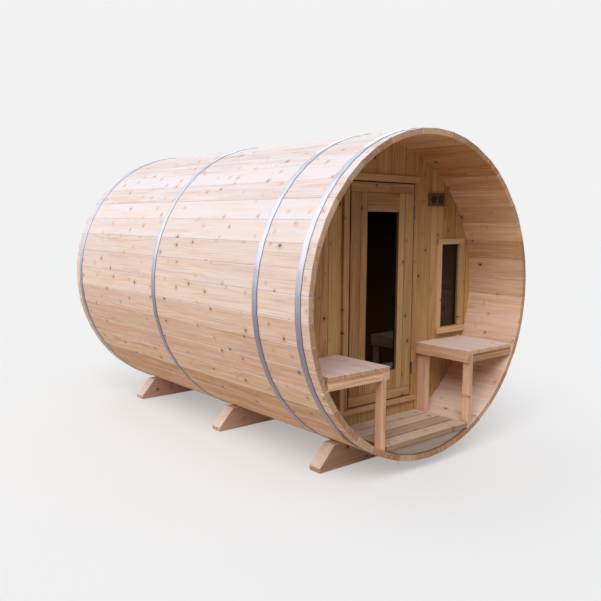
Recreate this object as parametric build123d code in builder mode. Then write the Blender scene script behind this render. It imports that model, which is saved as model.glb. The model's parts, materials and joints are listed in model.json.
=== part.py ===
from build123d import *
import os
from math import cos, pi, sin, tan

# Driving dimensions in millimetres: the coopered shell
barrel_diameter = 1860  # across opposite outer faces of the staves
barrel_length = 2743
stave_count = 46
stave_thickness = 35
stave_joint = 0.3  # space between neighbouring staves
stave_arris = 2.5  # bevel along each outer edge of a stave
ground_clearance = 60  # ground to the lowest staves
porch_depth = 415  # front stave ends to the face of the front wall
rear_chime = 65  # rear stave ends to the face of the back wall
wall_thickness = 35
croze_depth = 10  # groove in the staves that holds an end wall
croze_clearance = 0.3

# Driving dimensions: steel bands and timber cradles
band_width = 45
band_thickness = 2
band_clearance = 0.3
front_band_place = 80  # middle of the band from the front stave ends
middle_band_place = 1526
cradle_thickness = 90
cradle_height = 145
cradle_length = 1120
cradle_toe = 28  # upright end below the bevel
cradle_bevel = 110  # run of the bevel along the timber
saddle_clearance = 0.3
front_cradle_place = 364  # middle of the timber from the front stave ends
rear_cradle_place = 276  # middle of the timber from the rear stave ends

# Driving dimensions: floors and porch benches
floor_thickness = 30
floor_side_gap = 12.5  # floor edges to the bench legs
fascia_thickness = 25
fascia_setback = 8  # behind the nose of the porch floor
porch_setback = 4  # stave ends to the floor and benches
seat_clearance = 0.3  # timber ends to the staves that they meet
bench_height = 443  # above the floor
bench_side_gap = 19.5  # door trim to a seat's inner edge
bench_board_count = 4
bench_board_gap = 3
bench_board_thickness = 25
apron_height = 47
apron_thickness = 25
leg_thickness = 28
front_leg_depth = 55
rear_leg_depth = 80

# Driving dimensions: doorway and door leaf
door_width = 545
head_room = 238  # top of the doorway to the highest inner stave face
door_gap = 7  # round all four edges of the leaf
door_thickness = 40
sill_rise = 108  # floor to the top of the sill
sill_height = 35
sill_proud = 28  # in front of the wall
trim_width = 45
trim_thickness = 20
head_trim_height = 42
stop_width = 30
stop_thickness = 20
stop_overlap = 14  # part of the stop that shows in the doorway
stile_width = 136
top_rail_height = 60
filler_rail_height = 112
lower_panel_height = 118
bottom_rail_height = 62
glass_thickness = 6
glass_recess = 14  # behind the face of the leaf
glass_clearance = 0.3

# Driving dimensions: butt hinges
hinge_inset = 180  # middle of a hinge from the top or bottom of the doorway
hinge_height = 76
hinge_leaf_depth = 30
hinge_leaf_thickness = 2.5
knuckle_radius = 6
knuckle_gap = 0.4
pin_radius = 3
pin_clearance = 0.2

# Driving dimensions: window and vent
window_width = 191
window_lift = 76  # porch seat to the foot of the opening
window_drop = 383  # top of the doorway to the top of the opening
window_margin = 32  # sill and trim to the staves
window_trim_width = 40
window_trim_thickness = 18
window_head_height = 36
window_sill_height = 39
window_sill_proud = 30
window_sill_overhang = 8
pane_recess = 12  # behind the face of the wall
vent_width = 160
vent_height = 84
vent_thickness = 12
vent_drop = 94  # top of the doorway to the middle of the vent
vent_margin = 70  # plate to the staves
vent_hole_diameter = 56
vent_hole_spacing = 72
louvre_count = 4
louvre_height = 5

# The shell's round and its places along the barrel
outer_flat = barrel_diameter / 2
inner_flat = outer_flat - stave_thickness
half_pitch = pi / stave_count
axis_height = ground_clearance + outer_flat
ground = -axis_height
front = -barrel_length / 2
rear = barrel_length / 2
wall_face = front + porch_depth
wall_back = wall_face + wall_thickness
back_wall_face = rear - rear_chime
room_end = back_wall_face - wall_thickness
wall_round = inner_flat + croze_depth - croze_clearance
stave_turns = [pi / 2 + half_pitch * (2 * k + 1) for k in range(stave_count)]

os.makedirs("parts", exist_ok=True)


def keep(piece, name):
    """Label a finished piece and write it."""
    piece.part.label = name
    export_step(piece.part, f"parts/{name}.step")


def from_front(place):
    """Upright plane that faces the front, with its origin on the barrel's axis."""
    return Plane(origin=(0, place, axis_height), x_dir=(1, 0, 0), z_dir=(0, -1, 0))


def ring_of_flats(flat, mode=Mode.ADD):
    """Polygon with one side for each stave, and a corner at the top."""
    return RegularPolygon(flat, stave_count, major_radius=False, rotation=90, mode=mode)


def reach(height):
    """Half the room between the inner stave faces at a height from the barrel's axis."""
    facing = [turn for turn in stave_turns if cos(turn) > sin(half_pitch) / 2]
    return min((inner_flat - height * sin(turn)) / cos(turn) for turn in facing)


def depth(half_width):
    """Distance below the barrel's axis at which the staves leave this half width of room."""
    facing = [turn for turn in stave_turns if sin(turn) < -sin(half_pitch) / 2]
    return min((half_width * cos(turn) - inner_flat) / sin(turn) for turn in facing)


def rectangle(left, right, bottom, top, mode=Mode.ADD):
    """Rectangle by its four edges, as seen from the front."""
    with Locations(((left + right) / 2, (bottom + top) / 2)):
        Rectangle(right - left, top - bottom, mode=mode)


def boards(name, face, depth, *outlines):
    """Square-edged boards with their faces in one plane, by left, right, bottom and top."""
    with BuildPart() as timber:
        with BuildSketch(from_front(face)):
            for outline in outlines:
                rectangle(*outline)
        extrude(amount=-depth)
    keep(timber, name)


# Staves: flat boards with bevelled edges, arrises taken off and a croze cut for each end wall
inner_half_face = inner_flat * tan(half_pitch) - stave_joint / 2
outer_half_face = outer_flat * tan(half_pitch) - stave_joint / 2
arris_half_face = (outer_flat - stave_arris) * tan(half_pitch) - stave_joint / 2
stave_half_outline = [
    (inner_flat, inner_half_face),
    (outer_flat - stave_arris, arris_half_face),
    (outer_flat, outer_half_face - stave_arris),
]
stave_outline = [(x, -y) for x, y in stave_half_outline] + stave_half_outline[::-1]
stave_group_names = [
    "staves_crown",
    "staves_left_shoulder",
    "staves_left_flank",
    "staves_left_haunch",
    "staves_keel",
    "staves_right_haunch",
    "staves_right_flank",
    "staves_right_shoulder",
]
group_share = stave_count / len(stave_group_names)
group_ends = [int(k * group_share + 0.5) for k in range(len(stave_group_names) + 1)]
pitch_degrees = 360 / stave_count
crown_start = 90 - pitch_degrees * (group_ends[1] // 2)
for name, first, last in zip(stave_group_names, group_ends, group_ends[1:]):
    first_middle = crown_start + pitch_degrees * (first + 1 / 2)
    with BuildPart() as staves:
        with BuildSketch(from_front(front)):
            with PolarLocations(0, last - first, first_middle, pitch_degrees * (last - first)):
                Polygon(*stave_outline, align=None)
        extrude(amount=-barrel_length)
        for groove in (wall_face, room_end):
            with BuildSketch(from_front(groove - croze_clearance)):
                ring_of_flats(inner_flat + croze_depth)
            extrude(amount=-(wall_thickness + 2 * croze_clearance), mode=Mode.SUBTRACT)
    keep(staves, name)

# Bands: flat steel hoops, two of them over the grooves of the end walls
band_middles = [
    front + front_band_place,
    (wall_face + wall_back) / 2,
    front + middle_band_place,
    (room_end + back_wall_face) / 2,
]
with BuildPart() as bands:
    for middle in band_middles:
        with BuildSketch(from_front(middle - band_width / 2)):
            ring_of_flats(outer_flat + band_clearance + band_thickness)
            ring_of_flats(outer_flat + band_clearance, mode=Mode.SUBTRACT)
        extrude(amount=-band_width)
keep(bands, "steel_bands")

# Cradles: bevelled timbers with a saddle cut to the staves
cradle_top = ground + cradle_height
toe_outline = [
    (-cradle_length / 2, ground),
    (cradle_length / 2, ground),
    (cradle_length / 2, ground + cradle_toe),
    (cradle_length / 2 - cradle_bevel, cradle_top),
    (cradle_bevel - cradle_length / 2, cradle_top),
    (-cradle_length / 2, ground + cradle_toe),
]
cradle_middles = {
    "front_cradle": front + front_cradle_place,
    "middle_cradle": 0,
    "rear_cradle": rear - rear_cradle_place,
}
for name, middle in cradle_middles.items():
    with BuildPart() as cradle:
        with BuildSketch(from_front(middle - cradle_thickness / 2)):
            Polygon(*toe_outline, align=None)
            ring_of_flats(outer_flat + saddle_clearance, mode=Mode.SUBTRACT)
        extrude(amount=-cradle_thickness)
    keep(cradle, name)

# Layout across the porch: doorway, trim, bench aprons and legs, then the floor between the legs
doorway_half = door_width / 2 + door_gap
trim_half = doorway_half + trim_width
bench_edge = trim_half + bench_side_gap
leg_inner = bench_edge + apron_thickness
leg_outer = leg_inner + leg_thickness
floor_half = leg_inner - floor_side_gap

# Floors: boarding whose lower edges lie on the staves, with a fascia under the porch nose
floor_bottom = seat_clearance - depth(floor_half)
floor_top = floor_bottom + floor_thickness
floor_outline = (-floor_half, floor_half, floor_bottom, floor_top)
porch_front = front + porch_setback
boards("porch_floor", porch_front, wall_face - porch_front, floor_outline)
boards("sauna_floor", wall_back, room_end - wall_back, floor_outline)

with BuildPart() as fascia:
    with BuildSketch(from_front(porch_front + fascia_setback)):
        ring_of_flats(inner_flat - seat_clearance)
        rectangle(-floor_half, floor_half, -outer_flat, floor_bottom, mode=Mode.INTERSECT)
    extrude(amount=-fascia_thickness)
keep(fascia, "porch_fascia")

# Front wall: vertical boarding in four panels round the doorway, let into the croze
sill_top = floor_top + sill_rise
doorway_top = inner_flat - head_room
wall_panels = {
    "front_wall_left": (-outer_flat, -doorway_half, -outer_flat, outer_flat),
    "front_wall_over_door": (-doorway_half, doorway_half, doorway_top, outer_flat),
    "front_wall_under_door": (-doorway_half, doorway_half, -outer_flat, sill_top),
}
for name, outline in wall_panels.items():
    with BuildPart() as panel:
        with BuildSketch(from_front(wall_face)):
            Circle(wall_round)
            rectangle(*outline, mode=Mode.INTERSECT)
        extrude(amount=-wall_thickness)
    keep(panel, name)

seat_top = floor_top + bench_height
window_top = doorway_top - window_drop
window_bottom = seat_top + window_lift
head_top = window_top + window_head_height
window_sill_bottom = window_bottom - window_sill_height
window_sill_end = min(reach(head_top), reach(window_sill_bottom)) - window_margin
casing_right = window_sill_end - window_sill_overhang
window_right = casing_right - window_trim_width
window_left = window_right - window_width
casing_left = window_left - window_trim_width
vent_lift = doorway_top - vent_drop
vent_place = reach(vent_lift + vent_height / 2) - vent_margin - vent_width / 2
with BuildPart() as window_panel:
    with BuildSketch(from_front(wall_face)):
        Circle(wall_round)
        rectangle(doorway_half, outer_flat, -outer_flat, outer_flat, mode=Mode.INTERSECT)
        rectangle(window_left, window_right, window_bottom, window_top, mode=Mode.SUBTRACT)
        with Locations((vent_place, vent_lift)):
            with GridLocations(vent_hole_spacing, 0, 2, 1):
                Circle(vent_hole_diameter / 2, mode=Mode.SUBTRACT)
    extrude(amount=-wall_thickness)
keep(window_panel, "front_wall_right")

# Back wall: one plain disc of vertical boarding in the rear croze
with BuildPart() as back_wall:
    with BuildSketch(from_front(room_end)):
        Circle(wall_round)
    extrude(amount=-wall_thickness)
keep(back_wall, "back_wall")

# Door trim: casing boards on the wall, a sill under the leaf and stops on the inner face
trim_face = wall_face - trim_thickness
boards("door_trim_left", trim_face, trim_thickness, (-trim_half, -doorway_half, sill_top, doorway_top))
boards("door_trim_right", trim_face, trim_thickness, (doorway_half, trim_half, sill_top, doorway_top))
door_head_top = doorway_top + head_trim_height
boards("door_head_trim", trim_face, trim_thickness, (-trim_half, trim_half, doorway_top, door_head_top))
sill_face = wall_face - sill_proud
boards("door_sill", sill_face, sill_proud, (-trim_half, trim_half, sill_top - sill_height, sill_top))
stop_inner = doorway_half - stop_overlap
stop_outer = stop_inner + stop_width
boards(
    "door_stops",
    wall_back,
    stop_thickness,
    (-stop_outer, -stop_inner, sill_top, doorway_top),
    (stop_inner, stop_outer, sill_top, doorway_top),
)

# Door leaf: full-width top and bottom rails, two stiles, a filler rail, a panel and a pane
leaf_face = trim_face
leaf_half = door_width / 2
leaf_bottom = sill_top + door_gap
leaf_top = doorway_top - door_gap
light_half = leaf_half - stile_width
stile_top = leaf_top - top_rail_height
stile_bottom = leaf_bottom + bottom_rail_height
light_top = stile_top - filler_rail_height
light_bottom = stile_bottom + lower_panel_height
leaf_members = {
    "door_top_rail": (-leaf_half, leaf_half, stile_top, leaf_top),
    "door_bottom_rail": (-leaf_half, leaf_half, leaf_bottom, stile_bottom),
    "door_left_stile": (-leaf_half, -light_half, stile_bottom, stile_top),
    "door_right_stile": (light_half, leaf_half, stile_bottom, stile_top),
    "door_filler_rail": (-light_half, light_half, light_top, stile_top),
    "door_lower_panel": (-light_half, light_half, stile_bottom, light_bottom),
}
for name, outline in leaf_members.items():
    boards(name, leaf_face, door_thickness, outline)
pane_half = light_half - glass_clearance
door_pane = (-pane_half, pane_half, light_bottom + glass_clearance, light_top - glass_clearance)
boards("door_glass", leaf_face + glass_recess, glass_thickness, door_pane)

# Hinges: two butts with three knuckles, the pin fixed in the outer two
hinge_line = leaf_half + door_gap / 2
hinge_front = leaf_face - knuckle_radius - knuckle_gap
hinge_middles = (doorway_top - hinge_inset, sill_top + hinge_inset)
knuckle_height = (hinge_height - 2 * knuckle_gap) / 3
outer_knuckle_lift = knuckle_height + knuckle_gap


def hinge_leaf(face, middle, height):
    """Flat leaf of a hinge in the gap beside the door, given its low side across the gap."""
    bottom = middle - height / 2
    rectangle(face, face + hinge_leaf_thickness, bottom, bottom + height)


def knuckle_plane(middle):
    """Level plane on the hinge line, at the foot of a knuckle."""
    foot = axis_height + middle - knuckle_height / 2
    return Plane.XY.offset(foot).shift_origin((hinge_line, hinge_front, foot))


frame_leaf_side = doorway_half - hinge_leaf_thickness
with BuildPart() as frame_leaves:
    for middle in hinge_middles:
        with BuildSketch(from_front(leaf_face)):
            hinge_leaf(frame_leaf_side, middle, hinge_height)
        extrude(amount=-hinge_leaf_depth)
        for knuckle in (middle - outer_knuckle_lift, middle + outer_knuckle_lift):
            with BuildSketch(from_front(hinge_front)):
                hinge_leaf(frame_leaf_side, knuckle, knuckle_height)
            extrude(amount=hinge_front - leaf_face)
            with BuildSketch(knuckle_plane(knuckle)):
                Circle(knuckle_radius)
            extrude(amount=knuckle_height)
        with BuildSketch(knuckle_plane(middle - outer_knuckle_lift)):
            Circle(pin_radius)
        extrude(amount=hinge_height)
keep(frame_leaves, "hinge_frame_leaves")

with BuildPart() as door_leaves:
    for middle in hinge_middles:
        with BuildSketch(from_front(leaf_face)):
            hinge_leaf(leaf_half, middle, hinge_height)
        extrude(amount=-hinge_leaf_depth)
        with BuildSketch(from_front(hinge_front)):
            hinge_leaf(leaf_half, middle, knuckle_height)
        extrude(amount=hinge_front - leaf_face)
        with BuildSketch(knuckle_plane(middle)):
            Circle(knuckle_radius)
        extrude(amount=knuckle_height)
        with BuildSketch(knuckle_plane(middle)):
            Circle(pin_radius + pin_clearance)
        extrude(amount=knuckle_height, mode=Mode.SUBTRACT)
keep(door_leaves, "hinge_door_leaves")

# Window: trim boards round the opening, a proud sill and a fixed pane
window_face = wall_face - window_trim_thickness
boards(
    "window_side_trims",
    window_face,
    window_trim_thickness,
    (casing_left, window_left, window_bottom, window_top),
    (window_right, casing_right, window_bottom, window_top),
)
head_outline = (casing_left, casing_right, window_top, head_top)
boards("window_head_trim", window_face, window_trim_thickness, head_outline)
window_sill_start = casing_left - window_sill_overhang
window_sill_outline = (window_sill_start, window_sill_end, window_sill_bottom, window_bottom)
boards("window_sill", wall_face - window_sill_proud, window_sill_proud, window_sill_outline)
window_pane = (
    window_left + glass_clearance,
    window_right - glass_clearance,
    window_bottom + glass_clearance,
    window_top - glass_clearance,
)
boards("window_glass", wall_face + pane_recess, glass_thickness, window_pane)

# Vent: a small plate with two round holes, each crossed by louvres
louvre_pitch = vent_hole_diameter / louvre_count
with BuildPart() as vent:
    with BuildSketch(from_front(wall_face - vent_thickness)):
        with Locations((vent_place, vent_lift)):
            Rectangle(vent_width, vent_height)
            with GridLocations(vent_hole_spacing, 0, 2, 1):
                Circle(vent_hole_diameter / 2, mode=Mode.SUBTRACT)
            with GridLocations(vent_hole_spacing, louvre_pitch, 2, louvre_count - 1):
                Rectangle(vent_hole_diameter, louvre_height)
    extrude(amount=-vent_thickness)
keep(vent, "vent_plate")

# Porch benches: a boarded seat each side, with aprons below and legs cut to the staves
seat_bottom = seat_top - bench_board_thickness
apron_bottom = seat_bottom - apron_height
bench_end = reach(apron_bottom) - seat_clearance
porch_room = wall_face - porch_front
seat_gaps = bench_board_gap * (bench_board_count - 1)
seat_board = (bench_end - bench_edge - seat_gaps) / bench_board_count
seat_starts = [bench_edge + k * (seat_board + bench_board_gap) for k in range(bench_board_count)]


def sided(side, near, far, bottom, top):
    """Outline on the left or right of the porch, from its distances to the middle."""
    return min(side * near, side * far), max(side * near, side * far), bottom, top


for side, hand in ((-1, "left"), (1, "right")):
    seat_boards = [sided(side, start, start + seat_board, seat_bottom, seat_top) for start in seat_starts]
    boards(f"{hand}_bench_seat", porch_front, porch_room, *seat_boards)
    front_apron = sided(side, leg_outer, bench_end, apron_bottom, seat_bottom)
    side_apron = sided(side, bench_edge, leg_inner, apron_bottom, seat_bottom)
    with BuildPart() as aprons:
        for outline, depth in ((front_apron, apron_thickness), (side_apron, porch_room)):
            with BuildSketch(from_front(porch_front)):
                rectangle(*outline)
            extrude(amount=-depth)
    keep(aprons, f"{hand}_bench_aprons")
    leg_outline = sided(side, leg_inner, leg_outer, -outer_flat, seat_bottom)
    with BuildPart() as legs:
        for face, depth in ((porch_front, front_leg_depth), (wall_face - rear_leg_depth, rear_leg_depth)):
            with BuildSketch(from_front(face)):
                ring_of_flats(inner_flat - seat_clearance)
                rectangle(*leg_outline, mode=Mode.INTERSECT)
            extrude(amount=-depth)
    keep(legs, f"{hand}_bench_legs")
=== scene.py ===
import json

import bpy
import numpy as np
from mathutils import Matrix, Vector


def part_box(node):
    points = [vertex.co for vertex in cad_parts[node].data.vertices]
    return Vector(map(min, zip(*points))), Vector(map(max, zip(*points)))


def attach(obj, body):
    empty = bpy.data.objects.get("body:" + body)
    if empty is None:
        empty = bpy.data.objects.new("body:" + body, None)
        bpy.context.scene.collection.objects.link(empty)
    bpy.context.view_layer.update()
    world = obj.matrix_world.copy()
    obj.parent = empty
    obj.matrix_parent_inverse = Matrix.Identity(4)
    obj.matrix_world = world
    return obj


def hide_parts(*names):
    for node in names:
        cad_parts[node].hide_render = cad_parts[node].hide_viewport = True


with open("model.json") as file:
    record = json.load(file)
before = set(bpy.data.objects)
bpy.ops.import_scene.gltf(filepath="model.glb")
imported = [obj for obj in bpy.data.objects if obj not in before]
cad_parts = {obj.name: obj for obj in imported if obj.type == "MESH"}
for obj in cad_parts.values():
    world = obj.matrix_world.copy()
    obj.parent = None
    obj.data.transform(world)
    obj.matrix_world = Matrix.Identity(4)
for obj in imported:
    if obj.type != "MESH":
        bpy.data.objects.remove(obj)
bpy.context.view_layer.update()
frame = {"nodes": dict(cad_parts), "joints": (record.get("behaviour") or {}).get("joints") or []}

# Cradles
# Three sawn softwood timbers carry the barrel. Each is bevelled at both ends and has a saddle cut to
# the flats of the staves, which lie in it by their own weight.
grain_seed = 90
chance = np.random.default_rng(grain_seed)
stave_count = 46
stave_turns = np.pi / 2 + np.pi / stave_count * (2 * np.arange(stave_count) + 1)
outer_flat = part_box("staves_right_flank")[1].x
axis_height = (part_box("staves_crown")[1].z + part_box("staves_keel")[0].z) / 2
saddle_clearance = 0.0003
cradle_toe = 0.028
cradle_bevel = 0.110
cradle_ease = 0.003
cradle_points = 141
upright_limit = 0.01
trunk_length = 40.0
aside_of_pith = (0.02, 0.09)
below_pith = (0.03, 0.11)
edge_turn = 0.2
face_turn = 0.3
inner_turn = 0.5
square_turn = 0.98
full_lean = 0.8
keel_lean = -0.93
quarter = np.linspace(0, np.pi / 2, 4)
facing_front = np.array([[1, 0, 0], [0, 0, 1], [0, -1, 0]])
facing_up = np.eye(3)
facing_side = np.array([[0, 1, 0], [0, 0, 1], [1, 0, 0]])


def flats_below(places, flat):
    """Lower side of the ring of flats. Each downward stave is the line place cos(turn) + height sin(turn)
    = flat round the barrel's axis, and the highest of those lines is the surface at a place across it."""
    turns = stave_turns[np.sin(stave_turns) < -upright_limit]
    return axis_height + ((flat - np.outer(places, np.cos(turns))) / np.sin(turns)).max(axis=1)


def eased_loop(across, back, front, eases):
    """Closed section of a board: its face from left to right, then its back from right to left. Corners
    are quarter circles with the radii of eases: face left, face right, back left and back right."""
    left_most = max(eases[0], eases[2])
    right_most = max(eases[1], eases[3])
    inner = across[(across > across[0] + left_most) & (across < across[-1] - right_most)]
    halves = []
    for level, outward, left, right in ((front, 1, *eases[:2]), (back, -1, *eases[2:])):
        left_bend = across[0] + left * (1 - np.cos(quarter))
        right_bend = across[-1] - right * (1 - np.cos(quarter[::-1]))
        left_drop = left * (1 - np.sin(quarter))
        right_drop = right * (1 - np.sin(quarter[::-1]))
        drops = np.concatenate([left_drop, 0 * inner, right_drop])
        halves.append((np.concatenate([left_bend, inner, right_bend]), level - outward * drops))
    (face, face_levels), (rear, rear_levels) = halves
    return np.concatenate([face, rear[::-1]]), np.concatenate([face_levels, rear_levels[::-1]])


def slab(across, low, high, back, front, ease, sides=None):
    """Rings of a board, as (across, up, through): the eased section carried from the curve low to the
    curve high, both given at the places across. The end rings shrink on a quarter circle to a flat end.
    Every edge has the same ease, unless sides gives those of the four long edges."""
    across = np.asarray(across, float)
    places, levels = eased_loop(across, back, front, sides or 4 * (ease,))
    inset = ease * (1 - np.sin(quarter))
    lift = ease * (1 - np.cos(quarter))[:, None]
    insets = np.concatenate([inset, inset[::-1]])[:, None]
    middle, depth = (across[0] + across[-1]) / 2, (back + front) / 2
    s = middle + (places - middle) * (1 - 2 * insets / (across[-1] - across[0]))
    w = depth + (levels - depth) * (1 - 2 * insets / (front - back))
    lows = np.interp(s[: quarter.size], across, np.broadcast_to(low, across.shape)) + lift
    highs = np.interp(s[quarter.size :], across, np.broadcast_to(high, across.shape)) - lift[::-1]
    return np.stack([s, np.concatenate([lows, highs]), w], axis=-1)


def new_log(depth=None):
    """Where a board lay in its tree: its start along the trunk and its middle's place beside the pith, in
    metres, with three shares that set its depth of colour, lightness and hue. A given depth sets the
    first two, and stands for a board picked by its tone."""
    aside = chance.choice([-1, 1]) * chance.uniform(*aside_of_pith)
    place = [chance.uniform(0, trunk_length), aside, chance.uniform(*below_pith)]
    shade = chance.random(3)
    if depth is not None:
        shade[:2] = depth, 1 - depth
    return np.array(place), shade


def board(rings, facing, along, log, origin=(0, 0, 0), sky=(0, 0, 0), heart=None, joined=0.0):
    """A board set in the shared frame. facing holds the directions of its rings' three places, along is
    the one of the first two that the grain follows, sky is the way that its weathered face looks, heart
    is the middle across of the whole board, where this is a piece of one, and joined is how dark its
    edges are drawn, for dirt in the joints and painted shade in the gaps."""
    place, shade = log
    middle = (rings.reshape(-1, 3).min(axis=0) + rings.reshape(-1, 3).max(axis=0)) / 2
    middle[along] = 0
    if heart is not None:
        middle[1 - along] = heart
    grain = (rings - middle)[..., [along, 1 - along, 2]] + place
    made = {"rings": rings @ facing + np.array(origin), "grain": grain, "shade": shade, "joined": joined}
    return {**made, "along": facing[along], "across": facing[1 - along], "sky": np.array(sky)}


def skin(count, around, closed):
    """Quads of a tube of rings: one between each two points of neighbouring rings. An open tube is closed
    by strips that join each point of a ring's first half to its partner in the second half."""
    index = np.arange(count * around).reshape(count, around)
    near = index if closed else index[:-1]
    far = np.roll(index, -1, axis=0) if closed else index[1:]
    next_near, next_far = np.roll(near, -1, axis=1), np.roll(far, -1, axis=1)
    walls = np.stack([near, next_near, next_far, far], axis=-1).reshape(-1, 4)
    if closed:
        return walls
    first = np.arange(around // 2 - 1)
    strip = np.stack([first, first + 1, around - 2 - first, around - 1 - first], axis=-1)
    return np.concatenate([walls, index[0][strip[:, ::-1]], index[-1][strip]])


def wear_and_painted_light(piece, normals):
    """Shares of end grain, of darkening by dirt and painted shade, and of bleaching with painted
    highlights on each face. End grain is the share of a face's normal along the grain. The eased edges of
    boards laid side by side are darkened, partly dirt in the joints and partly painted shade in the gaps,
    and the inside of the keel is darkened as painted shade under the floors. Sun bleaching grows evenly
    with how far up the outer side looks, less on deeper coloured boards, and is weaker inside; its curve
    is also set to lighten the shaded lower staves, painted light. Edges that look further up get more, a
    painted highlight. Inner edges of staves are painted pale as highlights and their end corners are
    paler, paler boards more."""
    ends = np.abs(normals @ piece["along"])
    sideways = np.abs(normals @ piece["across"])
    outward, lean = normals @ piece["sky"], piece["sky"][2]
    depth, paleness = piece["shade"][:2]
    # Edges of boards laid side by side are darkened: dirt in the joints and painted shade in the gaps.
    grime_and_shade = np.where(sideways > edge_turn, piece.get("joined", 0), 0)
    turned_up = np.clip((np.array([lean, -lean]) + full_lean) / (2 * full_lean), 0, 1)
    outer, inner = turned_up * (1.1 - 0.35 * depth)
    # Faces that look further up than their board are paled more: a painted highlight on the upper
    # arrises.
    arris_highlight = np.maximum(normals[:, 2] - lean, 0) * (0.5 + 2.5 * paleness)
    inside = np.where(outward < -face_turn, inner / 2.5, 0)
    weather_and_highlight = np.where(outward > face_turn, outer + arris_highlight, inside)
    if piece.get("round"):
        # The inside of the keel, under the floors, is darkened as painted shade.
        grime_and_shade = np.where((outward < -inner_turn) & (lean < keel_lean), 1, 0)
        bevelled = (sideways > edge_turn) & (sideways < square_turn)
        # Inner bevels of staves are painted pale as highlights.
        weather_and_highlight[bevelled & (outward < -edge_turn)] = 0.9 * paleness
        # End corners of staves are paler.
        weather_and_highlight[(sideways > edge_turn) & (ends > edge_turn)] = 0.2 + 0.4 * paleness
    return ends, grime_and_shade, weather_and_highlight


def assemble(name, pieces, finish, body, slot, *nodes, smooth=False):
    """One mesh of several boards or parts, with the grain, board and end attributes and those of dirt
    with painted shade and of bleaching with painted highlights, that the wood is drawn by. It rides on a
    body and stands for the nodes."""
    mesh = bpy.data.meshes.new(name)
    columns = {label: [] for label in ("points", "grain", "board", "faces", "end", "grime_and_shade", "weather_and_highlight")}
    start = 0
    for piece in pieces:
        count, around = piece["rings"].shape[:2]
        spots = piece["rings"].reshape(-1, 3)
        faces = skin(count, around, piece.get("closed", False))
        corners = spots[faces]
        normals = np.cross(corners[:, 2] - corners[:, 0], corners[:, 3] - corners[:, 1])
        normals /= np.maximum(np.linalg.norm(normals, axis=1, keepdims=True), 1e-12)
        columns["points"].append(spots)
        columns["grain"].append(piece["grain"].reshape(-1, 3))
        columns["board"].append(np.broadcast_to(piece["shade"], spots.shape))
        columns["faces"].append(faces + start)
        for label, shares in zip(("end", "grime_and_shade", "weather_and_highlight"), wear_and_painted_light(piece, normals)):
            columns[label].append(shares)
        start += len(spots)
    joined = {label: np.concatenate(parts) for label, parts in columns.items()}
    mesh.from_pydata(joined["points"].tolist(), [], joined["faces"].tolist())
    for label, kind, domain, key in (
        ("grain", "FLOAT_VECTOR", "POINT", "vector"),
        ("board", "FLOAT_VECTOR", "POINT", "vector"),
        ("end", "FLOAT", "FACE", "value"),
        ("grime_and_shade", "FLOAT", "FACE", "value"),
        ("weather_and_highlight", "FLOAT", "FACE", "value"),
    ):
        attribute = mesh.attributes.new(label, kind, domain)
        attribute.data.foreach_set(key, joined[label].ravel().astype(np.float32))
    mesh.polygons.foreach_set("use_smooth", np.full(len(joined["faces"]), smooth))
    mesh.materials.append(finish)
    mesh.update()
    made = bpy.data.objects.new(name, mesh)
    bpy.context.scene.collection.objects.link(made)
    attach(made, body)
    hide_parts(*nodes)


def colour(code):
    """Linear colour of an sRGB hex value, by the sRGB curve."""
    shares = np.array([int(code[k : k + 2], 16) / 255 for k in (0, 2, 4)])
    linear = np.where(shares <= 0.04045, shares / 12.92, ((shares + 0.055) / 1.055) ** 2.4)
    return (*linear.tolist(), 1.0)


def add(tree, kind, inputs=None, **settings):
    """Adds a node, sets its properties, sets or links its inputs, and gives its outputs."""
    node = tree.nodes.new("ShaderNode" + kind)
    for key, value in settings.items():
        setattr(node, key, value)
    for key, value in (inputs or {}).items():
        if isinstance(value, bpy.types.NodeSocket):
            tree.links.new(value, node.inputs[key])
        else:
            node.inputs[key].default_value = value
    return node.outputs


def new_finish(name):
    """A material with no nodes yet, and its node tree."""
    material = bpy.data.materials.new(name)
    material.use_nodes = True
    material.node_tree.nodes.clear()
    return material, material.node_tree


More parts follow.
